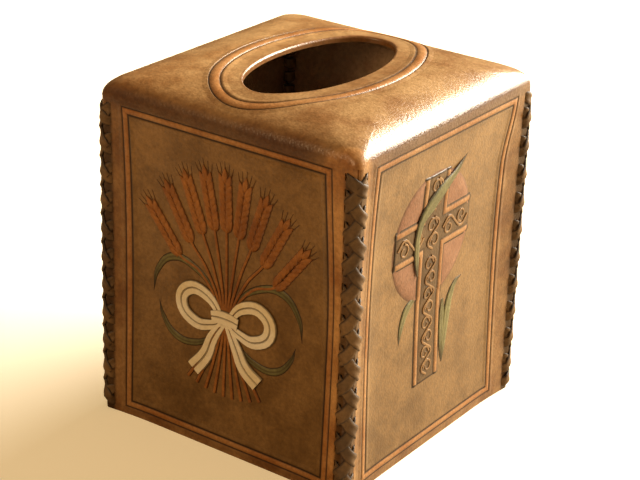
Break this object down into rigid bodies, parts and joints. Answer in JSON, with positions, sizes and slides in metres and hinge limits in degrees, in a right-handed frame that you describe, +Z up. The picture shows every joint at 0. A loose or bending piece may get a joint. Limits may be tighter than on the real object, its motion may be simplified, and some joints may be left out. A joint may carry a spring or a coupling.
{
  "type": "tissue box cover",
  "caption": "Square open-bottomed leather cover for a cube tissue box, with a crowned top, an oval opening for the tissues and crossed laces along its upright corners.",
  "frame": {"origin": "middle of the open bottom, at the height of the walls' lower edges", "axes": "+Z up, through the oval opening; the front wall faces -Y, and the opening's long axis lies along Y"},
  "size_m": [0.1298, 0.1298, 0.1494],
  "materials": {
    "tooled_leather": "hand tooled, antiqued brown and waxed to a soft gloss",
    "lace_leather": "dark brown, smooth, slightly glossy"
  },
  "bodies": {
    "root": {"cover_leather": "tooled_leather", "corner_lace_front_left": "lace_leather", "corner_lace_front_right": "lace_leather", "corner_lace_back_right": "lace_leather", "corner_lace_back_left": "lace_leather"}
  },
  "joints": []
}
